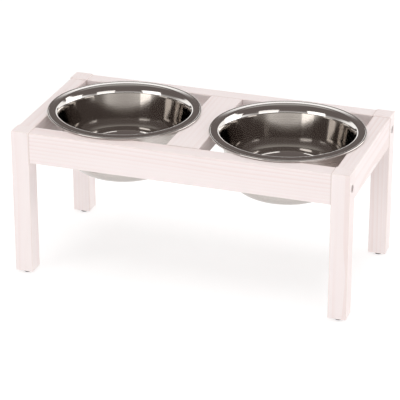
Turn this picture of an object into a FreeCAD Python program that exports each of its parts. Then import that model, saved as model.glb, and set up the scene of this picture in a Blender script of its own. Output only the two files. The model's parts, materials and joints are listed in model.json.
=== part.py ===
import FreeCAD, Part
import Sketcher
import os
from FreeCAD import Placement, Rotation, Vector

# Wooden stand for two steel feeding bowls: four legs, a frame of rails with a divider, and two lift-out bowls.
# Frame: origin on the floor under the middle of the stand, +X to the right, +Y to the back, +Z up. Millimetres.

SIZES = [
    # legs and rails
    ("leg_side", 25.0, "square section of a leg"),
    ("leg_length", 205.0, "leg without its foot"),
    ("leg_round", 1.2, "rounding along the edges of a leg"),
    ("rail_thickness", 23.0, "rails, centred on the legs"),
    ("rail_height", 43.0, "front, back and side rails"),
    ("rail_drop", 1.0, "rail tops below the leg tops"),
    ("rail_round", 1.2, "rounding along the long edges of rails and divider"),
    ("divider_height", 22.0, "divider, level with the rail tops"),
    ("rim_spacing", 21.0, "bare wood between the two bowl rims"),
    # bowls
    ("neck_diameter", 176.0, "where the line of the side meets the flare"),
    ("flare_width", 5.0, "flare from the neck out to the flange"),
    ("flare_height", 7.0, "flare from the neck up to the flange"),
    ("bowl_gap", 5.0, "between the neck and the sides of its opening"),
    ("rim_overlap", 12.0, "rim beyond the edge of the opening"),
    ("bowl_depth", 80.0, "bowl below the rail tops"),
    ("floor_diameter", 154.0, "where the line of the side meets the floor"),
    ("floor_corner", 30.0, "outside radius between side and floor"),
    ("flare_radius", 18.0, "outside radius between side and flare"),
    ("crest_radius", 3.2, "underside radius between flare and flange"),
    ("flange_rise", 1.0, "inner edge of the flange above its outer edge"),
    ("bead_radius", 1.6, "rolled edge of the flange"),
    ("bead_step", 0.4, "rolled edge above the flange beside it"),
    ("steel_gauge", 0.8, "sheet of the bowl"),
    ("seat_gap", 0.2, "between the rolled edge and the rails"),
    # feet
    ("foot_diameter", 12.0, "foot under each leg"),
    ("foot_height", 4.5, "foot from the floor to the leg"),
    ("foot_round", 1.0, "lower edge of a foot"),
    ("tack_head_diameter", 6.0, "head of the tack in a foot"),
    ("tack_head_height", 1.2, "head of the tack in a foot"),
    ("tack_diameter", 2.0, "shank of the tack"),
    ("tack_length", 15.0, "shank of the tack with its point"),
    ("tack_point", 3.0, "point of the tack"),
    ("tack_recess", 2.0, "recess in the foot for the tack head"),
    ("tack_clearance", 0.2, "round the tack head"),
    # bolts and barrel nuts
    ("bolt_diameter", 6.0, "shank of a rail bolt"),
    ("bolt_length", 50.0, "rail bolt under its head"),
    ("bolt_head_diameter", 10.0, "socket head"),
    ("bolt_head_height", 6.0, "socket head"),
    ("socket_width", 5.0, "hexagon socket across its flats"),
    ("socket_depth", 3.0, "hexagon socket"),
    ("bolt_chamfer", 0.6, "rim of the head and tip of the shank"),
    ("head_recess", 9.0, "depth of the recess for the bolt head"),
    ("head_clearance", 0.5, "round the bolt head"),
    ("bolt_clearance", 0.25, "round the bolt shank in the wood"),
    ("bolt_overrun", 2.0, "bolt tip beyond the barrel nut"),
    ("nut_diameter", 10.0, "barrel nut"),
    ("nut_length", 14.0, "barrel nut"),
    ("nut_chamfer", 0.5, "ends of a barrel nut"),
    ("slot_width", 1.6, "screwdriver slot in a barrel nut"),
    ("slot_depth", 1.5, "screwdriver slot in a barrel nut"),
    # dowels
    ("dowel_diameter", 6.0, "all dowels"),
    ("dowel_chamfer", 0.8, "ends of a dowel"),
    ("dowel_edge", 9.0, "dowel axis from the edge of the wood"),
    ("crossing_web", 1.5, "wood between dowels that cross in a leg"),
    ("rail_dowel_depth", 16.0, "long rail dowel inside the rail"),
    ("corner_dowel_depth", 15.0, "short rail dowel inside the leg and inside the rail"),
    ("divider_rail_depth", 12.0, "divider dowel inside the rail"),
    ("divider_dowel_depth", 18.0, "divider dowel inside the divider"),
    ("fit_clearance", 0.05, "round a dowel, nut or tack in its hole"),
    ("end_clearance", 0.5, "beyond the end of a dowel, nut, bolt or tack in its hole"),
]

doc = FreeCAD.newDocument("double_bowl_stand")
sheet = doc.addObject("Spreadsheet::Sheet", "Sizes")
for row, (alias, value, meaning) in enumerate(SIZES, start=1):
    sheet.set(f"A{row}", alias)
    sheet.set(f"B{row}", str(value))
    sheet.setAlias(f"B{row}", alias)
    sheet.set(f"C{row}", meaning)
doc.recompute()

# Places and lengths worked out from the sizes above
opening = "(Sizes.neck_diameter + 2 * Sizes.bowl_gap)"
rim_radius = f"({opening} / 2 + Sizes.rim_overlap)"
divider_width = "(2 * Sizes.rim_overlap + Sizes.rim_spacing)"
leg_spread_x = f"(Sizes.rail_thickness + 2 * {opening} + {divider_width})"
leg_spread_y = f"(Sizes.rail_thickness + {opening})"
long_rail_length = f"({leg_spread_x} - Sizes.leg_side)"
short_rail_length = f"({leg_spread_y} - Sizes.leg_side)"
rail_bottom = "(Sizes.leg_length - Sizes.rail_drop - Sizes.rail_height)"
seat_height = "(Sizes.foot_height + Sizes.leg_length - Sizes.rail_drop)"
bowl_spread = f"({opening} + {divider_width})"

dowel_hole = "(Sizes.dowel_diameter + 2 * Sizes.fit_clearance)"
tack_hole = "(Sizes.tack_diameter + 2 * Sizes.fit_clearance)"
tack_leg_depth = "(Sizes.tack_length - (Sizes.foot_height - Sizes.tack_recess) + Sizes.end_clearance)"
bolt_hole = "(Sizes.bolt_diameter + 2 * Sizes.bolt_clearance)"
bolt_rail_depth = "(Sizes.head_recess + Sizes.bolt_length - Sizes.leg_side)"
nut_hole = "(Sizes.nut_diameter + 2 * Sizes.fit_clearance)"
nut_hole_depth = "(Sizes.rail_thickness / 2 + Sizes.nut_length / 2 + Sizes.end_clearance)"
nut_from_end = f"({bolt_rail_depth} - Sizes.bolt_overrun - Sizes.nut_diameter / 2)"
nut_spread = f"({long_rail_length} - 2 * {nut_from_end})"
rail_dowel_leg_depth = "(Sizes.leg_side / 2 - Sizes.dowel_diameter / 2 - Sizes.crossing_web)"
divider_dowel_spread = f"({divider_width} - 2 * Sizes.dowel_edge)"
lower_dowel = "Sizes.dowel_edge"
upper_dowel = "(Sizes.rail_height - Sizes.dowel_edge)"
rail_middle = "(Sizes.rail_height / 2)"

parts = []


def new_body(label, place=None, turn=0.0):
    """A body with its own label, turned about Z and placed by expressions for x, y and z."""
    body = doc.addObject("PartDesign::Body", label)
    body.Label = label
    body.Placement = Placement(Vector(0, 0, 0), Rotation(Vector(0, 0, 1), turn))
    for axis, expression in zip("xyz", place or ()):
        body.setExpression(f"Placement.Base.{axis}", expression)
    parts.append(body)
    return body


def new_sketch(body, plane, offset=None):
    """A sketch on one of the body's origin planes, moved along the plane's normal by an expression."""
    sketch = body.newObject("Sketcher::SketchObject", "Sketch")
    support = next(item for item in body.Origin.OriginFeatures if item.Role == plane)
    sketch.AttachmentSupport = [(support, "")]
    sketch.MapMode = "FlatFace"
    if offset:
        sketch.setExpression("AttachmentOffset.Base.z", offset)
    return sketch


def dimension(sketch, expression, kind, *where):
    """One driving dimension of a sketch, bound to an expression; the start value is the expression's own."""
    value = float(sketch.evalExpression(expression))
    index = sketch.addConstraint(Sketcher.Constraint(kind, *where, value))
    sketch.setExpression(f"Constraints[{index}]", expression)


def value_of(expression):
    return float(sheet.evalExpression(expression))


def draw_rectangle(sketch, width, height):
    """A rectangle about the sketch origin."""
    half_x = value_of(width) / 2
    half_y = value_of(height) / 2
    corners = [Vector(-half_x, -half_y), Vector(half_x, -half_y), Vector(half_x, half_y), Vector(-half_x, half_y)]
    for start, end in zip(corners, corners[1:] + corners[:1]):
        sketch.addGeometry(Part.LineSegment(start, end))
    for line in range(4):
        sketch.addConstraint(Sketcher.Constraint("Coincident", line, 2, (line + 1) % 4, 1))
    for line, kind in enumerate(("Horizontal", "Vertical", "Horizontal", "Vertical")):
        sketch.addConstraint(Sketcher.Constraint(kind, line))
    sketch.addConstraint(Sketcher.Constraint("Symmetric", 0, 1, 2, 1, -1, 1))
    dimension(sketch, width, "DistanceX", 0, 1, 0, 2)
    dimension(sketch, height, "DistanceY", 1, 1, 1, 2)


def draw_circle(sketch, diameter, height=None, reach=None):
    """A circle at a height above the sketch origin and a reach to its right, on the axes where these are left out."""
    centre = Vector(value_of(reach) if reach else 0, value_of(height) if height else 0)
    circle = sketch.addGeometry(Part.Circle(centre, Vector(0, 0, 1), value_of(diameter) / 2))
    dimension(sketch, diameter, "Diameter", circle)
    if reach:
        dimension(sketch, reach, "DistanceX", -1, 1, circle, 3)
    else:
        sketch.addConstraint(Sketcher.Constraint("PointOnObject", circle, 3, -2))
    if height:
        dimension(sketch, height, "DistanceY", -1, 1, circle, 3)
    else:
        sketch.addConstraint(Sketcher.Constraint("PointOnObject", circle, 3, -1))


def draw_circle_pair(sketch, diameter, spread, height):
    """Two circles at the same height, one each side of the sketch's upright axis."""
    half = value_of(spread) / 2
    pair = []
    for x in (-half, half):
        centre = Vector(x, value_of(height))
        pair.append(sketch.addGeometry(Part.Circle(centre, Vector(0, 0, 1), value_of(diameter) / 2)))
    left, right = pair
    sketch.addConstraint(Sketcher.Constraint("Equal", left, right))
    sketch.addConstraint(Sketcher.Constraint("Symmetric", left, 3, right, 3, -2))
    dimension(sketch, diameter, "Diameter", left)
    dimension(sketch, spread, "DistanceX", left, 3, right, 3)
    dimension(sketch, height, "DistanceY", -1, 1, left, 3)


def draw_outline(sketch, points):
    """A closed outline of straight lines; each point is a pair of expressions, none for a place on that axis."""
    spots = [Vector(*(value_of(place) if place else 0 for place in point)) for point in points]
    count = len(points)
    for start, end in zip(spots, spots[1:] + spots[:1]):
        sketch.addGeometry(Part.LineSegment(start, end))
    for line, (reach, height) in enumerate(points):
        sketch.addConstraint(Sketcher.Constraint("Coincident", (line - 1) % count, 2, line, 1))
        if reach:
            dimension(sketch, reach, "DistanceX", -1, 1, line, 1)
        else:
            sketch.addConstraint(Sketcher.Constraint("PointOnObject", line, 1, -2))
        if height:
            dimension(sketch, height, "DistanceY", -1, 1, line, 1)
        else:
            sketch.addConstraint(Sketcher.Constraint("PointOnObject", line, 1, -1))


def draw_hexagon(sketch, flats):
    """A hexagon about the sketch origin, measured across its flats."""
    across = f"({flats} / cos(30 deg))"
    radius = value_of(across) / 2
    spots = [Rotation(Vector(0, 0, 1), 60 * turn).multVec(Vector(radius, 0)) for turn in range(6)]
    for start, end in zip(spots, spots[1:] + spots[:1]):
        sketch.addGeometry(Part.LineSegment(start, end))
    ring = sketch.addGeometry(Part.Circle(Vector(0, 0), Vector(0, 0, 1), radius), True)
    sketch.addConstraint(Sketcher.Constraint("Coincident", ring, 3, -1, 1))
    for line in range(6):
        sketch.addConstraint(Sketcher.Constraint("Coincident", line, 2, (line + 1) % 6, 1))
        sketch.addConstraint(Sketcher.Constraint("PointOnObject", line, 1, ring))
    for line in range(1, 6):
        sketch.addConstraint(Sketcher.Constraint("Equal", 0, line))
    sketch.addConstraint(Sketcher.Constraint("PointOnObject", 0, 1, -1))
    dimension(sketch, across, "Diameter", ring)


def pad(body, sketch, length, both_sides=False, reverse=False):
    feature = body.newObject("PartDesign::Pad", "Pad")
    feature.Profile = sketch
    feature.setExpression("Length", length)
    feature.Midplane = both_sides
    feature.Reversed = reverse
    doc.recompute()
    return feature


def pocket(body, sketch, depth=None, reverse=False):
    """A cut from the sketch, to a depth or through everything both ways; it has to take material away."""
    before = body.Shape.Volume
    feature = body.newObject("PartDesign::Pocket", "Pocket")
    feature.Profile = sketch
    if depth:
        feature.setExpression("Length", depth)
        feature.Reversed = reverse
    else:
        feature.Type = "ThroughAll"
        feature.Midplane = True
    doc.recompute()
    if not body.Shape.Volume < before:
        raise RuntimeError(f"a cut in {body.Label} takes nothing away")
    return feature


def revolve(body, sketch):
    feature = body.newObject("PartDesign::Revolution", "Revolution")
    feature.Profile = sketch
    feature.ReferenceAxis = (sketch, ["V_Axis"])
    feature.Angle = 360
    doc.recompute()
    return feature


def ease(body, kind, size_name, size, chosen):
    """A Fillet or Chamfer on every edge of the body that the test picks out."""
    base = body.Tip
    names = [f"Edge{number}" for number, edge in enumerate(base.Shape.Edges, start=1) if chosen(edge)]
    if not names:
        raise RuntimeError(f"no edge to ease in {body.Label}")
    feature = body.newObject(f"PartDesign::{kind}", kind)
    feature.Base = (base, names)
    feature.setExpression(size_name, size)
    doc.recompute()
    return feature


def round_edges(body, radius, chosen):
    return ease(body, "Fillet", "Radius", radius, chosen)


def bevel_edges(body, width, chosen):
    return ease(body, "Chamfer", "Size", width, chosen)


def any_edge(edge):
    return True


def along(direction):
    """Test for straight edges that run in one direction."""

    def chosen(edge):
        straight = isinstance(edge.Curve, Part.Line)
        return straight and edge.tangentAt(edge.FirstParameter).cross(direction).Length < 1e-6

    return chosen


def hoop(diameter, height, axis=Vector(0, 0, 1)):
    """Test for a round edge of a given diameter at a given place along an axis."""
    radius = value_of(diameter) / 2
    place = value_of(height)

    def chosen(edge):
        if not isinstance(edge.Curve, Part.Circle):
            return False
        same_size = abs(edge.Curve.Radius - radius) < 1e-4
        return same_size and abs(edge.Curve.Center.dot(axis) - place) < 1e-4

    return chosen


def make_leg(label, place, side, end):
    """A leg with its own origin under its middle; side is +1 on the right, end is +1 at the back."""
    body = new_body(label, place)
    sketch = new_sketch(body, "XY_Plane")
    draw_rectangle(sketch, "Sizes.leg_side", "Sizes.leg_side")
    pad(body, sketch, "Sizes.leg_length")
    round_edges(body, "Sizes.leg_round", any_edge)

    # bolt hole and the recess for its head, from the outer face
    bolt_height = f"({rail_bottom} + {rail_middle})"
    sketch = new_sketch(body, "YZ_Plane")
    draw_circle(sketch, bolt_hole, bolt_height)
    pocket(body, sketch)
    sketch = new_sketch(body, "YZ_Plane", f"{side} * Sizes.leg_side / 2")
    draw_circle(sketch, "(Sizes.bolt_head_diameter + 2 * Sizes.head_clearance)", bolt_height)
    pocket(body, sketch, "Sizes.head_recess", reverse=side < 0)

    # dowel holes for the long rail in the face that looks along X
    sketch = new_sketch(body, "YZ_Plane", f"{-side} * Sizes.leg_side / 2")
    for dowel in (lower_dowel, upper_dowel):
        draw_circle(sketch, dowel_hole, f"({rail_bottom} + {dowel})")
    pocket(body, sketch, f"{rail_dowel_leg_depth} + Sizes.end_clearance", reverse=side > 0)

    # dowel holes for the short rail in the face that looks along Y
    sketch = new_sketch(body, "XZ_Plane", f"{end} * Sizes.leg_side / 2")
    for dowel in (lower_dowel, upper_dowel):
        draw_circle(sketch, dowel_hole, f"({rail_bottom} + {dowel})")
    pocket(body, sketch, "Sizes.corner_dowel_depth + Sizes.end_clearance", reverse=end < 0)

    # hole for the tack of the foot
    sketch = new_sketch(body, "XY_Plane")
    draw_circle(sketch, tack_hole)
    pocket(body, sketch, tack_leg_depth, reverse=True)


def make_rail_blank(label, place, length, turn):
    """A rail along its own X axis, standing on its own origin."""
    body = new_body(label, place, turn)
    sketch = new_sketch(body, "YZ_Plane")
    draw_rectangle(sketch, "Sizes.rail_thickness", "Sizes.rail_height")
    sketch.setExpression("AttachmentOffset.Base.y", rail_middle)
    pad(body, sketch, length, both_sides=True)
    round_edges(body, "Sizes.rail_round", along(Vector(1, 0, 0)))
    return body


def drill_rail_ends(body, length, depth, diameter, heights):
    for end in (-1, 1):
        sketch = new_sketch(body, "YZ_Plane", f"{end} * {length} / 2")
        for height in heights:
            draw_circle(sketch, diameter, height)
        pocket(body, sketch, depth, reverse=end < 0)


def make_long_rail(label, place, turn):
    """Front or back rail; its inner face looks along its own +Y."""
    body = make_rail_blank(label, place, long_rail_length, turn)
    drill_rail_ends(body, long_rail_length, "Sizes.rail_dowel_depth + Sizes.end_clearance", dowel_hole,
                    (lower_dowel, upper_dowel))
    drill_rail_ends(body, long_rail_length, f"{bolt_rail_depth} + Sizes.end_clearance", bolt_hole, (rail_middle,))
    inner_face = "-Sizes.rail_thickness / 2"
    sketch = new_sketch(body, "XZ_Plane", inner_face)
    draw_circle_pair(sketch, nut_hole, nut_spread, rail_middle)
    pocket(body, sketch, nut_hole_depth, reverse=True)
    sketch = new_sketch(body, "XZ_Plane", inner_face)
    draw_circle_pair(sketch, dowel_hole, divider_dowel_spread, "(Sizes.rail_height - Sizes.divider_height / 2)")
    pocket(body, sketch, "Sizes.divider_rail_depth + Sizes.end_clearance", reverse=True)


def make_short_rail(label, place, turn):
    """Left or right rail."""
    body = make_rail_blank(label, place, short_rail_length, turn)
    drill_rail_ends(body, short_rail_length, "Sizes.corner_dowel_depth + Sizes.end_clearance", dowel_hole,
                    (lower_dowel, upper_dowel))


def make_divider(label, place):
    """Flat bar from the front rail to the back rail, about its own middle."""
    body = new_body(label, place)
    sketch = new_sketch(body, "XZ_Plane")
    draw_rectangle(sketch, divider_width, "Sizes.divider_height")
    pad(body, sketch, opening, both_sides=True)
    round_edges(body, "Sizes.rail_round", along(Vector(0, 1, 0)))
    for end in (-1, 1):
        sketch = new_sketch(body, "XZ_Plane", f"{end} * {opening} / 2")
        half = f"({divider_dowel_spread} / 2)"
        draw_circle(sketch, dowel_hole, reach=half)
        draw_circle(sketch, dowel_hole, reach=f"-{half}")
        pocket(body, sketch, "Sizes.divider_dowel_depth + Sizes.end_clearance", reverse=end < 0)


def inside_corner(reach, height, lean_before, lean_after):
    """Inner corner of the bent sheet beside an outer one, from the leans of the two runs, measured from upright."""
    middle = f"(({lean_before} + {lean_after}) / 2)"
    slant = f"(Sizes.steel_gauge / cos(({lean_after} - {lean_before}) / 2))"
    return f"({reach} - {slant} * cos({middle}))", f"({height} + {slant} * sin({middle}))"


def make_bowl(label, place):
    """Pressed bowl with its own origin under its floor; sheet steel turned about Z, with a rolled edge."""
    body = new_body(label, place)
    bead_reach = f"({rim_radius} - Sizes.bead_radius)"
    bead_height = "(Sizes.bowl_depth + Sizes.seat_gap + Sizes.bead_radius)"
    flange_top = f"({bead_height} + Sizes.bead_radius - Sizes.bead_step)"
    flange_under = f"({flange_top} - Sizes.steel_gauge)"
    floor_reach = "(Sizes.floor_diameter / 2)"
    neck_reach = "(Sizes.neck_diameter / 2)"
    mouth_reach = f"({neck_reach} + Sizes.flare_width)"
    mouth_height = f"({flange_under} + Sizes.flange_rise)"
    neck_height = f"({mouth_height} - Sizes.flare_height)"

    # leans of the floor, the side, the flare and the flange
    level = "90 deg"
    side_lean = f"atan(({neck_reach} - {floor_reach}) / {neck_height})"
    flare_lean = "atan(Sizes.flare_width / Sizes.flare_height)"
    flange_lean = f"({level} + atan(Sizes.flange_rise / ({bead_reach} - {mouth_reach})))"
    inside_floor = inside_corner(floor_reach, "0", side_lean, level)
    inside_neck = inside_corner(neck_reach, neck_height, side_lean, flare_lean)
    inside_mouth = inside_corner(mouth_reach, mouth_height, flare_lean, flange_lean)

    sketch = new_sketch(body, "XZ_Plane")
    draw_outline(sketch, [
        (None, None),
        (floor_reach, None),
        (neck_reach, neck_height),
        (mouth_reach, mouth_height),
        (bead_reach, flange_under),
        (bead_reach, flange_top),
        inside_mouth,
        inside_neck,
        inside_floor,
        (None, "Sizes.steel_gauge"),
    ])
    revolve(body, sketch)

    # the sheet bends evenly: the two radii of a bend are one gauge apart
    bends = [
        ("Sizes.floor_corner", (floor_reach, "0"), "-", inside_floor),
        ("Sizes.flare_radius", (neck_reach, neck_height), "+", inside_neck),
        ("Sizes.crest_radius", (mouth_reach, mouth_height), "+", inside_mouth),
    ]
    for radius, (reach, height), sign, (inside_reach, inside_height) in bends:
        round_edges(body, radius, hoop(f"2 * {reach}", height))
        round_edges(body, f"{radius} {sign} Sizes.steel_gauge", hoop(f"2 * {inside_reach}", inside_height))

    sketch = new_sketch(body, "XZ_Plane")
    draw_circle(sketch, "2 * Sizes.bead_radius", bead_height, bead_reach)
    revolve(body, sketch)


def make_foot(label, place):
    """Round glide with a recess underneath for the head of its tack."""
    body = new_body(label, place)
    sketch = new_sketch(body, "XY_Plane")
    draw_circle(sketch, "Sizes.foot_diameter")
    pad(body, sketch, "Sizes.foot_height")
    round_edges(body, "Sizes.foot_round", hoop("Sizes.foot_diameter", "0"))
    sketch = new_sketch(body, "XY_Plane")
    draw_circle(sketch, tack_hole)
    pocket(body, sketch)
    sketch = new_sketch(body, "XY_Plane")
    draw_circle(sketch, "(Sizes.tack_head_diameter + 2 * Sizes.tack_clearance)")
    pocket(body, sketch, "Sizes.tack_recess", reverse=True)


def make_tack(label, place):
    """Tack that points up, with its own origin where the shank leaves the head."""
    body = new_body(label, place)
    sketch = new_sketch(body, "XZ_Plane")
    draw_outline(sketch, [
        (None, "-Sizes.tack_head_height"),
        ("Sizes.tack_head_diameter / 2", "-Sizes.tack_head_height"),
        ("Sizes.tack_head_diameter / 2", None),
        ("Sizes.tack_diameter / 2", None),
        ("Sizes.tack_diameter / 2", "(Sizes.tack_length - Sizes.tack_point)"),
        (None, "Sizes.tack_length"),
    ])
    revolve(body, sketch)


def make_bolt(label, place, turn):
    """Socket head bolt along its own X axis; its origin is under the head, which points along +X."""
    body = new_body(label, place, turn)
    along_x = Vector(1, 0, 0)
    sketch = new_sketch(body, "YZ_Plane")
    draw_circle(sketch, "Sizes.bolt_head_diameter")
    pad(body, sketch, "Sizes.bolt_head_height")
    sketch = new_sketch(body, "YZ_Plane")
    draw_circle(sketch, "Sizes.bolt_diameter")
    pad(body, sketch, "Sizes.bolt_length", reverse=True)
    bevel_edges(body, "Sizes.bolt_chamfer", hoop("Sizes.bolt_head_diameter", "Sizes.bolt_head_height", along_x))
    bevel_edges(body, "Sizes.bolt_chamfer", hoop("Sizes.bolt_diameter", "-Sizes.bolt_length", along_x))
    sketch = new_sketch(body, "YZ_Plane", "Sizes.bolt_head_height")
    draw_hexagon(sketch, "Sizes.socket_width")
    pocket(body, sketch, "Sizes.socket_depth")


def make_barrel_nut(label, place, turn):
    """Barrel nut along its own Y axis, cross drilled for the bolt, with a slot in the end that looks along +Y."""
    body = new_body(label, place, turn)
    along_y = Vector(0, 1, 0)
    sketch = new_sketch(body, "XZ_Plane")
    draw_circle(sketch, "Sizes.nut_diameter")
    pad(body, sketch, "Sizes.nut_length", both_sides=True)
    for end in ("Sizes.nut_length / 2", "-Sizes.nut_length / 2"):
        bevel_edges(body, "Sizes.nut_chamfer", hoop("Sizes.nut_diameter", end, along_y))
    sketch = new_sketch(body, "YZ_Plane")
    draw_circle(sketch, "(Sizes.bolt_diameter + 2 * Sizes.fit_clearance)")
    pocket(body, sketch)
    sketch = new_sketch(body, "XZ_Plane", "-Sizes.nut_length / 2")
    draw_rectangle(sketch, "2 * Sizes.nut_diameter", "Sizes.slot_width")
    pocket(body, sketch, "Sizes.slot_depth", reverse=True)


def make_dowel(label, place, length, turn):
    """Dowel along its own X axis, about its own middle."""
    body = new_body(label, place, turn)
    sketch = new_sketch(body, "YZ_Plane")
    draw_circle(sketch, "Sizes.dowel_diameter")
    pad(body, sketch, length, both_sides=True)
    for end in (f"{length} / 2", f"-{length} / 2"):
        bevel_edges(body, "Sizes.dowel_chamfer", hoop("Sizes.dowel_diameter", end, Vector(1, 0, 0)))


# The frame: rails stand between the legs, centred on them
rail_base = f"(Sizes.foot_height + {rail_bottom})"
make_long_rail("front_rail", ("0", f"-{leg_spread_y} / 2", rail_base), 0)
make_long_rail("back_rail", ("0", f"{leg_spread_y} / 2", rail_base), 180)
make_short_rail("left_rail", (f"-{leg_spread_x} / 2", "0", rail_base), 90)
make_short_rail("right_rail", (f"{leg_spread_x} / 2", "0", rail_base), 90)
make_divider("centre_divider", ("0", "0", f"{seat_height} - Sizes.divider_height / 2"))

# Each corner: a leg, its foot and tack, the bolt and barrel nut, and the dowels of both rails
heights = {"lower": lower_dowel, "upper": upper_dowel}
for end_name, end in (("front", -1), ("back", 1)):
    for side_name, side in (("left", -1), ("right", 1)):
        corner = f"{end_name}_{side_name}"
        leg_x = f"{side} * {leg_spread_x} / 2"
        leg_y = f"{end} * {leg_spread_y} / 2"
        make_leg(f"leg_{corner}", (leg_x, leg_y, "Sizes.foot_height"), side, end)
        make_foot(f"foot_{corner}", (leg_x, leg_y, "0"))
        make_tack(f"foot_tack_{corner}", (leg_x, leg_y, "Sizes.tack_recess"))

        outward = 0 if side > 0 else 180
        inward = 0 if end < 0 else 180
        bolt_z = f"{rail_base} + {rail_middle}"
        bolt_x = f"{side} * ({leg_spread_x} / 2 + Sizes.leg_side / 2 - Sizes.head_recess)"
        make_bolt(f"rail_bolt_{corner}", (bolt_x, leg_y, bolt_z), outward)
        make_barrel_nut(f"barrel_nut_{corner}", (f"{side} * {nut_spread} / 2", leg_y, bolt_z), inward)

        rail_dowel_length = f"({rail_dowel_leg_depth} + Sizes.rail_dowel_depth)"
        rail_dowel_x = f"{side} * ({long_rail_length} / 2 + {rail_dowel_leg_depth} - {rail_dowel_length} / 2)"
        corner_dowel_y = f"{end} * {short_rail_length} / 2"
        for level, height in heights.items():
            dowel_z = f"{rail_base} + {height}"
            make_dowel(f"rail_dowel_{corner}_{level}", (rail_dowel_x, leg_y, dowel_z), rail_dowel_length, 0)
            make_dowel(f"corner_dowel_{corner}_{level}", (leg_x, corner_dowel_y, dowel_z),
                       "(2 * Sizes.corner_dowel_depth)", 90)

        divider_dowel_length = "(Sizes.divider_rail_depth + Sizes.divider_dowel_depth)"
        divider_dowel_y = f"{end} * ({opening} / 2 + Sizes.divider_rail_depth - {divider_dowel_length} / 2)"
        make_dowel(f"divider_dowel_{corner}",
                   (f"{side} * {divider_dowel_spread} / 2", divider_dowel_y,
                    f"{seat_height} - Sizes.divider_height / 2"), divider_dowel_length, 90)

# The bowls hang by their rims in the openings
for side_name, side in (("left", -1), ("right", 1)):
    make_bowl(f"{side_name}_bowl", (f"{side} * {bowl_spread} / 2", "0", f"{seat_height} - Sizes.bowl_depth"))

doc.recompute()
for item in doc.Objects:
    if "Invalid" in item.State or "Error" in item.State:
        raise RuntimeError(f"{item.Label} did not build: {item.State}")
for body in parts:
    if body.Shape.isNull() or not body.Shape.isValid() or len(body.Shape.Solids) != 1:
        raise RuntimeError(f"{body.Label} is not one sound solid")

os.makedirs("parts", exist_ok=True)
for body in parts:
    body.Shape.exportStep(f"parts/{body.Label}.step")
print(f"{len(parts)} pieces written")
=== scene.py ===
import json
import math

import bmesh
import bpy
from mathutils import Matrix, Vector


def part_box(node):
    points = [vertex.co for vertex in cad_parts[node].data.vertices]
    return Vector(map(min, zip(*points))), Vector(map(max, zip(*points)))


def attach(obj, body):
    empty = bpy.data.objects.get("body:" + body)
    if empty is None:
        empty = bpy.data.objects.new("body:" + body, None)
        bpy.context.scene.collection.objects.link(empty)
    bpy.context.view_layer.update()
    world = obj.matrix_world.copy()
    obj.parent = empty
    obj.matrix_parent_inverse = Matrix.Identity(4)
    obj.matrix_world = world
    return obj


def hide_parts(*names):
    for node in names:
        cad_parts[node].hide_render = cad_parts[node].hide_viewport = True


# Raised feeding stand: a whitewashed pine frame with two lift-out steel bowls
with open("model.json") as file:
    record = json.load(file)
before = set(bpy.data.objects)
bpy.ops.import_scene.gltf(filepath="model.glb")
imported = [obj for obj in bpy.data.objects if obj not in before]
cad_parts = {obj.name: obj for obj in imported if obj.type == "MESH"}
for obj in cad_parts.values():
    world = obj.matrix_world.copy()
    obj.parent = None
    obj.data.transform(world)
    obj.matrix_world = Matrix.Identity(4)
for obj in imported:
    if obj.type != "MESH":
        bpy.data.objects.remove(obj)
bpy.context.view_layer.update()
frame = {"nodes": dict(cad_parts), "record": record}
scene = bpy.context.scene
record = frame["record"]
bodyOf = {node: body for body, nodes in record["behaviour"]["bodies"].items() for node in nodes}
slotOf = {part["node"]: part["material_slot"] for part in record["subparts"]}
mm = 0.001  # the frame is in metres, sizes below are in millimetres


def nodesIn(slotName):
    return sorted(node for node in frame["nodes"] if slotOf[node] == slotName)


def linearColour(hexText):
    channels = [int(hexText[i:i + 2], 16) / 255 for i in (1, 3, 5)]
    linear = [c / 12.92 if c <= 0.04045 else ((c + 0.055) / 1.055) ** 2.4 for c in channels]
    return (*linear, 1.0)


def setInputs(tree, node, inputs):
    for socket, value in inputs.items():
        if isinstance(value, bpy.types.NodeSocket):
            tree.links.new(value, node.inputs[socket])
        else:
            node.inputs[socket].default_value = value


def addNode(tree, kind, inputs, **settings):
    made = tree.nodes.new("ShaderNode" + kind)
    for name, value in settings.items():
        setattr(made, name, value)
    setInputs(tree, made, inputs)
    return made


def startMaterial(name):
    made = bpy.data.materials.new(name)
    made.use_nodes = True
    return made, made.node_tree, made.node_tree.nodes["Principled BSDF"]


noiseSpan = (0.3, 0.7)  # a noise texture hardly leaves these values
waveRadians = 20        # that a wave texture runs through in one unit of length

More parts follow.
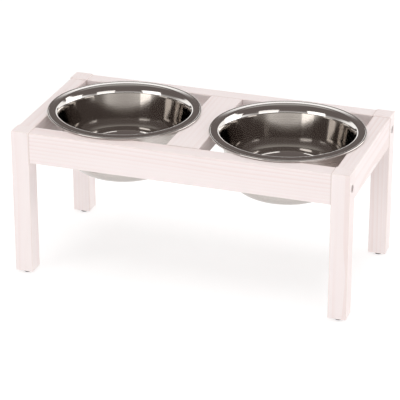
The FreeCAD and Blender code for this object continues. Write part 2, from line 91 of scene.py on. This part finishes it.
# Pine, planed, sanded and washed with thin white stain: a pale satin skin where growth rings and fibres
# still show as a ghost, a little uneven where the wash pooled, warmer where sanding rubbed the edges
pine = {
    "wash": "#f9efee",
    "ringLine": "#f4e5e2",
    "fibre": "#f7ebe9",
    "pool": "#fbf3f2",
    "rubbed": "#efded5",
    "paintedJointShade": "#b9a8a2",             # painted shade in the joint, where a rail or the divider butts against another piece
    "ringGap": 5.2,                # growth rings of quick-grown pine
    "ringWander": 9.0,             # how far rings stray, in radians of their own spacing
    "ringDetail": (2.0, 0.35, 0.45),  # octaves of the straying, their scale and their roughness
    "lateWood": (0.35, 0.97),      # share of a year's growth from pale to dark
    "pithAway": 55.0,              # from the piece to the heart of the log
    "turnApart": 2.4,              # radians round the heart from one piece to the next
    "cutApart": 310.0,             # and the step along the log
    "ringLengthwise": 0.1,         # rings change this much slower along the piece
    "fibreWidth": 0.9,             # real fibres are a tenth of it, drawn coarser so that they show
    "fibreLengthwise": 0.03,
    "fibreDetail": (3.0, 0.6),     # octaves and roughness
    "fibreShows": (0.48, 0.78),    # from and to these values of its noise
    "fibreMost": 0.8,
    "poolSize": 70.0,
    "poolDetail": 3.0,
    "poolShows": (0.42, 0.68),
    "poolMost": 0.7,
    "washThickens": (0.38, 0.6),   # rings show through thin wash and hardly through thick
    "ringThrough": (0.9, 0.1),
    "edgeReach": (0.35, 1.7),      # from the middle of a rounded edge to the sound wash
    "rubbing": 0.5,
    "jointShadeReach": (0.25, 1.0),
    "jointShadeDepth": 0.5,
    "roughness": (0.42, 0.56),
    "relief": 0.05,
    "ringRelief": 0.5,             # rings stand out this much against the fibres
    "bumpStrength": 0.6,
    "ior": 1.5,
    "specular": 0.4,
}


def slowedAlong(axis, share):
    stretch = Vector((1, 1, 1))
    stretch[axis] = share
    return stretch


def placeInLog(tree, local, along, index):
    # each piece is cut from another side and another stretch of the log
    turn = index * pine["turnApart"]
    firstAcross, secondAcross = [axis for axis in range(3) if axis != along]
    pith = Vector()
    pith[firstAcross] = pine["pithAway"] * mm * math.cos(turn)
    pith[secondAcross] = pine["pithAway"] * mm * math.sin(turn)
    pith[along] = pine["cutApart"] * mm * index
    stretch = slowedAlong(along, pine["ringLengthwise"])
    return addNode(tree, "VectorMath", {0: local, 1: stretch, 2: pith}, operation="MULTIPLY_ADD").outputs[0]


def pineGrain(tree, inLog, along):
    octaves, scale, roughness = pine["ringDetail"]
    rings = addNode(tree, "TexWave", {
        "Vector": inLog, "Scale": 2 * math.pi / (waveRadians * pine["ringGap"] * mm),
        "Distortion": pine["ringWander"],
        "Detail": octaves, "Detail Scale": scale, "Detail Roughness": roughness,
    }, wave_type="RINGS", rings_direction="XYZ"[along], wave_profile="SAW")
    ringBand = addNode(tree, "MapRange", {
        "Value": rings.outputs["Fac"], "From Min": pine["lateWood"][0], "From Max": pine["lateWood"][1],
    }, interpolation_type="SMOOTHSTEP")

    stretch = slowedAlong(along, pine["fibreLengthwise"])
    alongFibre = addNode(tree, "VectorMath", {0: inLog, 1: stretch}, operation="MULTIPLY")
    octaves, roughness = pine["fibreDetail"]
    fibres = addNode(tree, "TexNoise", {
        "Vector": alongFibre.outputs[0], "Scale": 1 / (pine["fibreWidth"] * mm),
        "Detail": octaves, "Roughness": roughness,
    })
    fibreLine = addNode(tree, "MapRange", {
        "Value": fibres.outputs["Fac"], "From Min": pine["fibreShows"][0], "From Max": pine["fibreShows"][1],
        "To Max": pine["fibreMost"],
    }, interpolation_type="SMOOTHSTEP")

    pools = addNode(tree, "TexNoise", {
        "Vector": inLog, "Scale": 1 / (pine["poolSize"] * mm), "Detail": pine["poolDetail"],
    })
    poolFill = addNode(tree, "MapRange", {
        "Value": pools.outputs["Fac"], "From Min": pine["poolShows"][0], "From Max": pine["poolShows"][1],
        "To Max": pine["poolMost"],
    })
    thinWash = addNode(tree, "MapRange", {
        "Value": pools.outputs["Fac"],
        "From Min": pine["washThickens"][0], "From Max": pine["washThickens"][1],
        "To Min": pine["ringThrough"][0], "To Max": pine["ringThrough"][1],
    }, interpolation_type="SMOOTHSTEP")
    ringLine = addNode(tree, "Math", {0: ringBand.outputs[0], 1: thinWash.outputs[0]}, operation="MULTIPLY")
    layers = {"pool": poolFill.outputs[0], "ringLine": ringLine.outputs[0], "fibre": fibreLine.outputs[0]}
    return layers, fibres.outputs["Fac"], pools.outputs["Fac"]


def depthInside(tree, local, half):
    # distance to the nearest long edge is the middle one of the distances to the three pairs of faces
    away = addNode(tree, "VectorMath", {0: local}, operation="ABSOLUTE")
    inside = addNode(tree, "VectorMath", {0: half, 1: away.outputs[0]}, operation="SUBTRACT")
    faces = addNode(tree, "SeparateXYZ", {0: inside.outputs[0]})
    nearXY = addNode(tree, "Math", {0: faces.outputs[0], 1: faces.outputs[1]}, operation="MINIMUM")
    farXY = addNode(tree, "Math", {0: faces.outputs[0], 1: faces.outputs[1]}, operation="MAXIMUM")
    farZ = addNode(tree, "Math", {0: farXY.outputs[0], 1: faces.outputs[2]}, operation="MINIMUM")
    edge = addNode(tree, "Math", {0: nearXY.outputs[0], 1: farZ.outputs[0]}, operation="MAXIMUM")
    return faces.outputs, edge.outputs[0]


def whitewashedPine(node, index):
    low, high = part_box(node)
    centre = (low + high) / 2
    half = (high - low) / 2
    along = max(range(3), key=lambda axis: half[axis])
    material, tree, shader = startMaterial("whitewashed pine " + node)
    place = addNode(tree, "TexCoord", {})
    local = addNode(tree, "VectorMath", {0: place.outputs["Object"], 1: centre}, operation="SUBTRACT")
    inLog = placeInLog(tree, local.outputs[0], along, index)
    layers, fibres, pools = pineGrain(tree, inLog, along)
    faces, edge = depthInside(tree, local.outputs[0], half)

    bare = addNode(tree, "MapRange", {
        "Value": edge, "From Min": pine["edgeReach"][0] * mm, "From Max": pine["edgeReach"][1] * mm,
        "To Min": pine["rubbing"], "To Max": 0.0,
    }, interpolation_type="SMOOTHSTEP")
    layers["rubbed"] = addNode(tree, "Math", {0: bare.outputs[0], 1: pools}, operation="MULTIPLY").outputs[0]
    # rails and the divider get painted shade along their ends, where they butt against another piece
    if not node.startswith("leg_"):
        layers["paintedJointShade"] = addNode(tree, "MapRange", {
            "Value": faces[along],
            "From Min": pine["jointShadeReach"][0] * mm, "From Max": pine["jointShadeReach"][1] * mm,
            "To Min": pine["jointShadeDepth"], "To Max": 0.0,
        }).outputs[0]
    colour = linearColour(pine["wash"])
    for name, amount in layers.items():
        colour = addNode(tree, "Mix", {
            0: amount, 6: colour, 7: linearColour(pine[name]),
        }, data_type="RGBA").outputs[2]

    rough = addNode(tree, "MapRange", {
        "Value": fibres, "From Min": noiseSpan[0], "From Max": noiseSpan[1],
        "To Min": pine["roughness"][0], "To Max": pine["roughness"][1],
    })
    height = addNode(tree, "Math", {
        0: layers["ringLine"], 1: pine["ringRelief"], 2: fibres,
    }, operation="MULTIPLY_ADD")
    bump = addNode(tree, "Bump", {
        "Strength": pine["bumpStrength"], "Distance": pine["relief"] * mm, "Height": height.outputs[0],
    })
    setInputs(tree, shader, {
        "Base Color": colour, "Roughness": rough.outputs[0], "Normal": bump.outputs[0],
        "IOR": pine["ior"], "Specular IOR Level": pine["specular"],
    })
    return material


# Stainless steel, pressed from sheet. Inside it is buffed to a mirror: clean reflections, a shade softer
# along faint circles that the buffing wheel left. Outside it is only brushed as it turns, and those circles
# blur what it reflects
stainless = {
    "mirror": {
        "name": "stainless steel, buffed to a mirror",
        "sheet": "#cdc9c5", "mark": "#c3beb9", "roughness": (0.05, 0.1),
    },
    "brushed": {
        "name": "stainless steel, brushed as it turned",
        "sheet": "#cbc6c2", "mark": "#b9b3ae", "roughness": (0.2, 0.32),
    },
    "markGap": 1.4,           # real marks are finer than a tenth of it, drawn coarser so that they show
    "markDetail": (3.0, 0.6),
    "markShows": (0.4, 0.75),
}


def stainlessFinish(look):
    material, tree, shader = startMaterial(look["name"])
    place = addNode(tree, "TexCoord", {})
    # marks run round the bowl: across the floor they change with the radius, up the side with the height
    flat = addNode(tree, "VectorMath", {0: place.outputs["Object"], 1: (1, 1, 0)}, operation="MULTIPLY")
    radius = addNode(tree, "VectorMath", {0: flat.outputs[0]}, operation="LENGTH")
    height = addNode(tree, "SeparateXYZ", {0: place.outputs["Object"]})
    travel = addNode(tree, "Math", {0: radius.outputs["Value"], 1: height.outputs[2]}, operation="ADD")
    octaves, roughness = stainless["markDetail"]
    marks = addNode(tree, "TexNoise", {
        "W": travel.outputs[0], "Scale": 1 / (stainless["markGap"] * mm),
        "Detail": octaves, "Roughness": roughness,
    }, noise_dimensions="1D")
    amount = addNode(tree, "MapRange", {
        "Value": marks.outputs["Fac"],
        "From Min": stainless["markShows"][0], "From Max": stainless["markShows"][1],
    })
    colour = addNode(tree, "Mix", {
        0: amount.outputs[0], 6: linearColour(look["sheet"]), 7: linearColour(look["mark"]),
    }, data_type="RGBA")
    rough = addNode(tree, "MapRange", {
        "Value": marks.outputs["Fac"], "From Min": noiseSpan[0], "From Max": noiseSpan[1],
        "To Min": look["roughness"][0], "To Max": look["roughness"][1],
    })
    setInputs(tree, shader, {
        "Base Color": colour.outputs[2], "Roughness": rough.outputs[0], "Metallic": 1.0,
    })
    return material


# Small hardware: the matt skin of a spark-eroded mould, sooty oxide from an oil bath, or milky plating, each
# with a fine speckle of its own
hardware = {
    "plastic": {
        "name": "polypropylene, moulded matt",
        "base": "#1c1b1b", "worn": "#2a2928", "roughness": (0.52, 0.66),
        "grain": 0.7, "relief": 0.03, "shader": {"IOR": 1.49},
    },
    "black": {
        "name": "steel, blackened in oil",
        "base": "#3b3836", "worn": "#57524d", "roughness": (0.3, 0.46),
        "grain": 1.6, "relief": 0.01, "shader": {"Metallic": 1.0},
    },
    "zinc": {
        "name": "steel, bright zinc plated",
        "base": "#c6c8ca", "worn": "#b2b3b1", "roughness": (0.24, 0.38),
        "grain": 2.2, "relief": 0.008, "shader": {"Metallic": 1.0},
    },
    "speckleDetail": (4.0, 0.6),
    "speckleShows": (0.45, 0.75),
    "bumpStrength": 0.5,
}


def hardwareFinish(look):
    material, tree, shader = startMaterial(look["name"])
    place = addNode(tree, "TexCoord", {})
    octaves, roughness = hardware["speckleDetail"]
    speckle = addNode(tree, "TexNoise", {
        "Vector": place.outputs["Object"], "Scale": 1 / (look["grain"] * mm),
        "Detail": octaves, "Roughness": roughness,
    })
    amount = addNode(tree, "MapRange", {
        "Value": speckle.outputs["Fac"],
        "From Min": hardware["speckleShows"][0], "From Max": hardware["speckleShows"][1],
    })
    colour = addNode(tree, "Mix", {
        0: amount.outputs[0], 6: linearColour(look["base"]), 7: linearColour(look["worn"]),
    }, data_type="RGBA")
    rough = addNode(tree, "MapRange", {
        "Value": speckle.outputs["Fac"], "From Min": noiseSpan[0], "From Max": noiseSpan[1],
        "To Min": look["roughness"][0], "To Max": look["roughness"][1],
    })
    bump = addNode(tree, "Bump", {
        "Strength": hardware["bumpStrength"], "Distance": look["relief"] * mm,
        "Height": speckle.outputs["Fac"],
    })
    setInputs(tree, shader, {
        "Base Color": colour.outputs[2], "Roughness": rough.outputs[0], "Normal": bump.outputs[0],
        **look["shader"],
    })
    return material


# Beech, turned and left bare: pinkish tan, with the short dark flecks of its rays along the grain
beech = {
    "base": "#dcb78f",
    "fleck": "#b98a60",
    "fleckWidth": 0.5,
    "fleckLengthwise": 0.12,
    "fleckDetail": 2.0,
    "fleckShows": (0.5, 0.72),
    "roughness": (0.55, 0.7),
    "relief": 0.02,
    "bumpStrength": 0.4,
    "ior": 1.5,
}


def turnedBeech():
    material, tree, shader = startMaterial("beech, turned and bare")
    place = addNode(tree, "TexCoord", {})
    stretch = slowedAlong(2, beech["fleckLengthwise"])  # a dowel is turned round its own z
    alongGrain = addNode(tree, "VectorMath", {0: place.outputs["Object"], 1: stretch}, operation="MULTIPLY")
    flecks = addNode(tree, "TexNoise", {
        "Vector": alongGrain.outputs[0], "Scale": 1 / (beech["fleckWidth"] * mm),
        "Detail": beech["fleckDetail"],
    })
    amount = addNode(tree, "MapRange", {
        "Value": flecks.outputs["Fac"],
        "From Min": beech["fleckShows"][0], "From Max": beech["fleckShows"][1],
    })
    colour = addNode(tree, "Mix", {
        0: amount.outputs[0], 6: linearColour(beech["base"]), 7: linearColour(beech["fleck"]),
    }, data_type="RGBA")
    rough = addNode(tree, "MapRange", {
        "Value": flecks.outputs["Fac"], "From Min": noiseSpan[0], "From Max": noiseSpan[1],
        "To Min": beech["roughness"][0], "To Max": beech["roughness"][1],
    })
    bump = addNode(tree, "Bump", {
        "Strength": beech["bumpStrength"], "Distance": beech["relief"] * mm, "Height": flecks.outputs["Fac"],
    })
    setInputs(tree, shader, {
        "Base Color": colour.outputs[2], "Roughness": rough.outputs[0], "Normal": bump.outputs[0],
        "IOR": beech["ior"],
    })
    return material


def arc(centre, radius, start, end, steps):
    angles = [math.radians(start + (end - start) * i / steps) for i in range(steps + 1)]
    return [(centre[0] + radius * math.cos(a), centre[1] + radius * math.sin(a)) for a in angles]


def roundCorner(before, corner, after, radius, steps):
    corner = Vector(corner)
    toBefore = (Vector(before) - corner).normalized()
    toAfter = (Vector(after) - corner).normalized()
    half = toBefore.angle(toAfter) / 2
    middle = corner + (toBefore + toAfter).normalized() * radius / math.sin(half)
    first = corner + toBefore * radius / math.tan(half) - middle
    last = corner + toAfter * radius / math.tan(half) - middle
    sweep = math.atan2(first.cross(last), first.dot(last))
    return [tuple(middle + Matrix.Rotation(sweep * i / steps, 2) @ first) for i in range(steps + 1)]


def lathe(outline, steps):
    # outline holds (radius, height) in millimetres; a radius can also be a function of the angle
    made = bmesh.new()
    rings = []
    for radius, height in outline:
        if radius == 0:
            rings.append([made.verts.new((0, 0, height * mm))])
            continue
        ring = []
        for k in range(steps):
            angle = 2 * math.pi * k / steps
            reach = (radius(angle) if callable(radius) else radius) * mm
            ring.append(made.verts.new((reach * math.cos(angle), reach * math.sin(angle), height * mm)))
        rings.append(ring)
    for lower, upper in zip(rings, rings[1:]):
        for k in range(steps):
            around = ((lower, k), (lower, k + 1), (upper, k + 1), (upper, k))
            corners = [ring[j % len(ring)] for ring, j in around]
            made.faces.new(list(dict.fromkeys(corners)))  # three corners where a ring is a single point
    return made


smoothBelow = 38  # degrees between two faces, a sharper bend shows as an edge


def addPiece(name, made, place, material, node):
    bmesh.ops.recalc_face_normals(made, faces=made.faces)
    mesh = bpy.data.meshes.new(name)
    made.to_mesh(mesh)
    made.free()
    mesh.shade_smooth()
    mesh.set_sharp_from_angle(angle=math.radians(smoothBelow))
    mesh.materials.append(material)
    piece = bpy.data.objects.new(name, mesh)
    scene.collection.objects.link(piece)
    piece.matrix_world = place
    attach(piece, bodyOf[node])
    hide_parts(node)
    return piece


def refinish(node, material):
    finishes = frame["nodes"][node].data.materials
    finishes.clear()
    finishes.append(material)


# Legs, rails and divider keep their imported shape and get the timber
timbers = nodesIn("painted_wood")
for index, node in enumerate(timbers):
    refinish(node, whitewashedPine(node, index))
print("timber finished:", len(timbers), "pieces")

# Each bowl is one sheet: flat floor, round corner, straight side, flared neck, sloping flange, curled bead
bowl = {
    "floorDiameter": 154.0,  # where the lines of floor and side meet, and so on upwards, all on the outside
    "neckDiameter": 176.0,
    "flareWidth": 5.0,
    "flareHeight": 7.0,
    "floorCorner": 30.0,
    "flareRadius": 18.0,
    "crestRadius": 3.2,
    "flangeRise": 1.0,
    "bead": 1.6,
    "beadStep": 0.4,         # the bead stands this much over the flange
    "sheet": 0.8,
    "seatGap": 0.2,          # under the bead
    "steps": 192,
    "bendSteps": (24, 12, 16),  # floor corner, flare and crest
    "curlSteps": (22, 32),   # inside and outside of the bead
}


def raiseSheet(corners, thickness):
    # the other face of the sheet: each corner moves along the mitre of its two lines
    lines = [(Vector(b) - Vector(a)).normalized() for a, b in zip(corners, corners[1:])]
    across = [Vector((-line.y, line.x)) for line in lines]
    moved = [Vector(corners[0]) + across[0] * thickness]
    for corner, before, after in zip(corners[1:], across, across[1:]):
        moved.append(Vector(corner) + (before + after) * thickness / (1 + before.dot(after)))
    moved.append(Vector(corners[-1]) + across[-1] * thickness)
    return moved


def bowlOutline(rimRadius, seatHeight):
    sheet = bowl["sheet"]
    bead = bowl["bead"]
    beadAt = (rimRadius - bead, seatHeight + bowl["seatGap"] + bead)
    flangeTop = beadAt[1] + bead - bowl["beadStep"]
    crest = flangeTop + bowl["flangeRise"] - sheet
    neck = bowl["neckDiameter"] / 2
    outer = [
        (0, 0), (bowl["floorDiameter"] / 2, 0), (neck, crest - bowl["flareHeight"]),
        (neck + bowl["flareWidth"], crest), (beadAt[0], flangeTop - sheet),
    ]
    inner = raiseSheet(outer, sheet)
    radii = (bowl["floorCorner"], bowl["flareRadius"], bowl["crestRadius"])
    changes = (-sheet, sheet, sheet)  # of the radius through the sheet
    outside = []
    inside = []
    for i, steps in enumerate(bowl["bendSteps"]):
        outside += roundCorner(*outer[i:i + 3], radii[i], steps)
        inside += roundCorner(*inner[i:i + 3], radii[i] + changes[i], steps)
    # the sheet curls out, down and back under the flange
    topMeets = 180 - math.degrees(math.asin((flangeTop - beadAt[1]) / bead))
    underMeets = 180 - math.degrees(math.asin((flangeTop - sheet - beadAt[1]) / (bead - sheet)))
    curlInside = arc(beadAt, bead - sheet, underMeets, -180, bowl["curlSteps"][0])
    curlOutside = arc(beadAt, bead, -180, topMeets, bowl["curlSteps"][1])
    return [(0, 0)] + outside + curlInside + curlOutside + inside[::-1] + [(0, sheet)]


mirror = stainlessFinish(stainless["mirror"])
brushed = stainlessFinish(stainless["brushed"])
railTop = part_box("front_rail")[1].z
for node in nodesIn("polished_steel"):
    low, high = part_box(node)
    middle = (low + high) / 2
    outline = bowlOutline((high.x - low.x) / 2 / mm, (railTop - low.z) / mm)
    place = Matrix.Translation((middle.x, middle.y, low.z))
    shell = addPiece(node + "_shell", lathe(outline, bowl["steps"]), place, mirror, node)
    shell.data.materials.append(brushed)
    for face in shell.data.polygons:
        face.material_index = int(face.normal.z < 0)  # whatever looks down is the outside
print("bowls spun:", len(outline), "points round the sheet")

# Socket head bolts with a rolled thread, head outwards
bolt = {
    "diameter": 6.0,
    "pitch": 1.0,
    "threadDepth": 0.55,
    "threadLength": 26.0,
    "threadFades": 1.0,         # from the last turn to the full shank
    "tipChamfer": 0.3,
    "headDiameter": 10.0,
    "headHeight": 6.0,
    "headRound": 0.6,
    "headUnderEdge": 0.2,
    "socketWidth": 5.0,
    "socketDepth": 3.0,
    "socketLead": (0.1, 0.45),  # wider than the corners, and how deep
    "drillPoint": 1.0,
    "steps": 48,
    "ringsPerPitch": 6,
    "roundSteps": 5,
}


def hexagon(acrossFlats):
    sixth = math.pi / 3
    return lambda angle: acrossFlats / 2 / math.cos((angle + sixth / 2) % sixth - sixth / 2)


def threadRing(height):
    radius = bolt["diameter"] / 2

    def reach(angle):
        phase = (height / bolt["pitch"] - angle / (2 * math.pi)) % 1
        return radius - bolt["threadDepth"] * abs(2 * phase - 1)

    return reach


def threadOutline():
    perPitch = bolt["ringsPerPitch"]
    ringCount = round(bolt["threadLength"] / bolt["pitch"] * perPitch)
    heights = [i * bolt["pitch"] / perPitch for i in range(perPitch // 2, ringCount)]
    return [(threadRing(height), height) for height in heights]


def boltOutline(length):
    radius = bolt["diameter"] / 2
    shoulder = length - bolt["headHeight"]
    headRadius = bolt["headDiameter"] / 2
    edge = bolt["headUnderEdge"]
    rounding = bolt["headRound"]
    outline = [(0, 0), (radius - bolt["threadDepth"] - bolt["tipChamfer"], 0)]
    outline += threadOutline()
    outline += [(radius, bolt["threadLength"] + bolt["threadFades"]), (radius, shoulder)]
    outline += [(headRadius - edge, shoulder), (headRadius, shoulder + edge)]
    outline += arc((headRadius - rounding, length - rounding), rounding, 0, 90, bolt["roundSteps"])
    socket = hexagon(bolt["socketWidth"])
    socketCorner = bolt["socketWidth"] / math.sqrt(3)
    socketFloor = length - bolt["socketDepth"]
    leadOut, leadDown = bolt["socketLead"]
    outline += [(socketCorner + leadOut, length), (socket, length - leadDown)]
    outline += [(socket, socketFloor), (0, socketFloor - bolt["drillPoint"])]
    return outline


blackSteel = hardwareFinish(hardware["black"])
bolts = nodesIn("black_steel")
for node in bolts:
    low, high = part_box(node)
    middle = (low + high) / 2
    outward = 1 if middle.x > 0 else -1
    tip = low.x if outward > 0 else high.x
    turn = Matrix.Rotation(outward * math.pi / 2, 4, "Y")
    place = Matrix.Translation((tip, middle.y, middle.z)) @ turn
    made = lathe(boltOutline((high.x - low.x) / mm), bolt["steps"])
    addPiece(node + "_threaded", made, place, blackSteel, node)
print("bolts threaded:", len(bolts))

# Fluted dowels: pressed grooves along the length let the glue spread
dowel = {
    "flutes": 16,
    "fluteDepth": 0.22,
    "fluteNarrows": 3,  # the higher, the narrower the groove
    "chamfer": 0.7,
    "steps": 96,
}


def dowelOutline(radius, length):
    def fluted(angle):
        wave = 0.5 + 0.5 * math.cos(dowel["flutes"] * angle)
        return radius - dowel["fluteDepth"] * wave ** dowel["fluteNarrows"]

    chamfer = dowel["chamfer"]
    tip = radius - chamfer
    return [(0, 0), (tip, 0), (fluted, chamfer), (fluted, length - chamfer), (tip, length), (0, length)]


beechWood = turnedBeech()
dowels = nodesIn("beech")
for node in dowels:
    low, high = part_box(node)
    size = high - low
    along = max(range(3), key=lambda axis: size[axis])
    start = (low + high) / 2
    start[along] = low[along]
    turn = Matrix.Rotation(math.pi / 2, 4, "Y") if along == 0 else Matrix.Rotation(-math.pi / 2, 4, "X")
    made = lathe(dowelOutline(min(size) / 2 / mm, size[along] / mm), dowel["steps"])
    addPiece(node + "_fluted", made, Matrix.Translation(start) @ turn, beechWood, node)
print("dowels fluted:", len(dowels))

# Feet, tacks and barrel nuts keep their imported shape
for slotName, finish in (("black_plastic", "plastic"), ("zinc_steel", "zinc")):
    material = hardwareFinish(hardware[finish])
    for node in nodesIn(slotName):
        refinish(node, material)
print("feet, tacks and nuts finished")

# Studio: a white table lit from below, a bright sweep behind it, and a dim room with a pale ceiling
studio = {
    "floorSize": 80.0,          # metres, to the horizon
    "floor": "#c8c8c8",
    "tableGlow": 0.45,          # the table is lit from below
    "floorGlow": 0.16,          # lifts the open floor to white for the eye and in reflections
    "farGlow": 0.33,            # the same away from the lamps
    "farFrom": (0.9, 3.0),      # metres from the stand
    "backdrop": 1.5,            # lit sweep behind the stand
    "front": "#b4b0ae",         # the room behind the camera
    "wall": "#7a7270",
    "ceiling": "#cccac8",
    "skyline": (5.5, 7),        # degrees above level where the white edge of the floor ends in front
    "horizonTop": (12, 17),     # where the sweep behind gives way to the dim room
    "ceilingFrom": (46, 64),    # and the walls to the ceiling
    "sides": (-0.3, 0.3),       # from the front to the back of the room
    "boxesFace": (0, 0, 0.2),   # metres, the point that every softbox looks at
    "boxDistance": 2.2,
}


def studioFloor():
    material, tree, shader = startMaterial("white floor, matt paint")
    tree.nodes.remove(shader)
    paint = addNode(tree, "BsdfDiffuse", {"Color": linearColour(studio["floor"])})
    rays = addNode(tree, "LightPath", {}).outputs
    eyeOrMirror = addNode(tree, "Math", {
        0: rays["Is Camera Ray"], 1: rays["Is Glossy Ray"],
    }, operation="MAXIMUM")
    seen = addNode(tree, "Math", {
        0: eyeOrMirror.outputs[0], 1: rays["Is Transmission Ray"],
    }, operation="MAXIMUM")
    place = addNode(tree, "TexCoord", {})
    away = addNode(tree, "VectorMath", {0: place.outputs["Object"]}, operation="LENGTH")
    lifted = addNode(tree, "MapRange", {
        "Value": away.outputs["Value"], "From Min": studio["farFrom"][0], "From Max": studio["farFrom"][1],
        "To Min": studio["floorGlow"], "To Max": studio["farGlow"],
    }, interpolation_type="SMOOTHSTEP")
    glow = addNode(tree, "Math", {
        0: seen.outputs[0], 1: lifted.outputs[0], 2: studio["tableGlow"],
    }, operation="MULTIPLY_ADD")
    lift = addNode(tree, "Emission", {"Strength": glow.outputs[0]})
    lit = addNode(tree, "AddShader", {0: paint.outputs[0], 1: lift.outputs[0]})
    # seen from below it is clear, so that the underside of the stand shows
    sides = addNode(tree, "NewGeometry", {})
    clear = addNode(tree, "BsdfTransparent", {})
    shown = addNode(tree, "MixShader", {
        0: sides.outputs["Backfacing"], 1: lit.outputs[0], 2: clear.outputs[0],
    })
    setInputs(tree, tree.nodes["Material Output"], {"Surface": shown.outputs[0]})
    return material


reach = studio["floorSize"] / 2
floorCorners = [(x * reach, y * reach, 0) for x, y in ((-1, -1), (1, -1), (1, 1), (-1, 1))]
floorMesh = bpy.data.meshes.new("floor")
floorMesh.from_pydata(floorCorners, [], [(0, 1, 2, 3)])
floorMesh.materials.append(studioFloor())
floor = bpy.data.objects.new("floor", floorMesh)
scene.collection.objects.link(floor)


def studioWorld():
    world = bpy.data.worlds.new("studio")
    world.use_nodes = True
    tree = world.node_tree
    place = addNode(tree, "TexCoord", {})
    up = addNode(tree, "SeparateXYZ", {0: place.outputs["Generated"]})
    rises = []
    for band in ("skyline", "horizonTop", "ceilingFrom"):
        fade = [math.sin(math.radians(angle)) for angle in studio[band]]
        rises.append(addNode(tree, "MapRange", {
            "Value": up.outputs[2], "From Min": fade[0], "From Max": fade[1],
        }, interpolation_type="SMOOTHSTEP"))
    edge, wall, ceiling = rises
    behind = addNode(tree, "MapRange", {
        "Value": up.outputs[1], "From Min": studio["sides"][0], "From Max": studio["sides"][1],
    }, interpolation_type="SMOOTHSTEP")
    sweep = (studio["backdrop"],) * 3 + (1,)
    front = addNode(tree, "Mix", {
        0: edge.outputs[0], 6: (1, 1, 1, 1), 7: linearColour(studio["front"]),
    }, data_type="RGBA")
    horizon = addNode(tree, "Mix", {
        0: behind.outputs[0], 6: front.outputs[2], 7: sweep,
    }, data_type="RGBA")
    room = addNode(tree, "Mix", {
        0: ceiling.outputs[0], 6: linearColour(studio["wall"]), 7: linearColour(studio["ceiling"]),
    }, data_type="RGBA")
    whole = addNode(tree, "Mix", {
        0: wall.outputs[0], 6: horizon.outputs[2], 7: room.outputs[2],
    }, data_type="RGBA")
    setInputs(tree, tree.nodes["Background"], {"Color": whole.outputs[2], "Strength": 1.0})
    return world


scene.world = studioWorld()

# Softboxes round the stand: azimuth and elevation, then width and height, in degrees seen from the stand.
# Those that only fill are kept out of the steel's reflections
softboxes = {
    "rightFront": {"at": (53, 13), "size": (34, 24), "brightness": 1.4, "mirrored": True},
    "leftFront": {"at": (-33, 13), "size": (34, 24), "brightness": 2.1, "mirrored": True},
    "rightBack": {"at": (125, 14), "size": (40, 26), "brightness": 1.9, "mirrored": True},
    "lowFill": {"at": (10, 6), "size": (70, 11), "brightness": 0.6, "mirrored": False},
    "overhead": {"at": (0, 85), "size": (56, 56), "brightness": 1.75, "mirrored": False},
}


def direction(azimuth, elevation):
    a = math.radians(azimuth)
    e = math.radians(elevation)
    return Vector((math.sin(a) * math.cos(e), -math.cos(a) * math.cos(e), math.sin(e)))


def placeFacing(item, target, azimuth, elevation, distance):
    towards = direction(azimuth, elevation)
    item.location = Vector(target) + towards * distance
    item.rotation_euler = towards.to_track_quat("Z", "Y").to_euler()
    scene.collection.objects.link(item)


for name, box in softboxes.items():
    lamp = bpy.data.lights.new(name, "AREA")
    lamp.shape = "RECTANGLE"
    wide, tall = [math.radians(angle) for angle in box["size"]]
    lamp.size = 2 * studio["boxDistance"] * math.tan(wide / 2)
    lamp.size_y = 2 * studio["boxDistance"] * math.tan(tall / 2)
    lamp.energy = box["brightness"] * math.pi * lamp.size * lamp.size_y
    holder = bpy.data.objects.new(name, lamp)
    placeFacing(holder, studio["boxesFace"], *box["at"], studio["boxDistance"])
    holder.visible_camera = False
    holder.visible_glossy = box["mirrored"]
print("studio lit:", len(softboxes), "softboxes")

# Long lens from the front, a little to the right and above
view = {
    "azimuth": 18.86,
    "elevation": 24.28,
    "distance": 2.796,  # metres
    "target": (-0.0072, 0.0, 0.0918),
    "lens": 184.46,
    "sensor": 36.0,
}
camera = bpy.data.cameras.new("camera")
camera.lens = view["lens"]
camera.sensor_width = view["sensor"]
viewer = bpy.data.objects.new("camera", camera)
placeFacing(viewer, view["target"], view["azimuth"], view["elevation"], view["distance"])
scene.camera = viewer
scene.view_settings.view_transform = "Standard"
print("camera set")
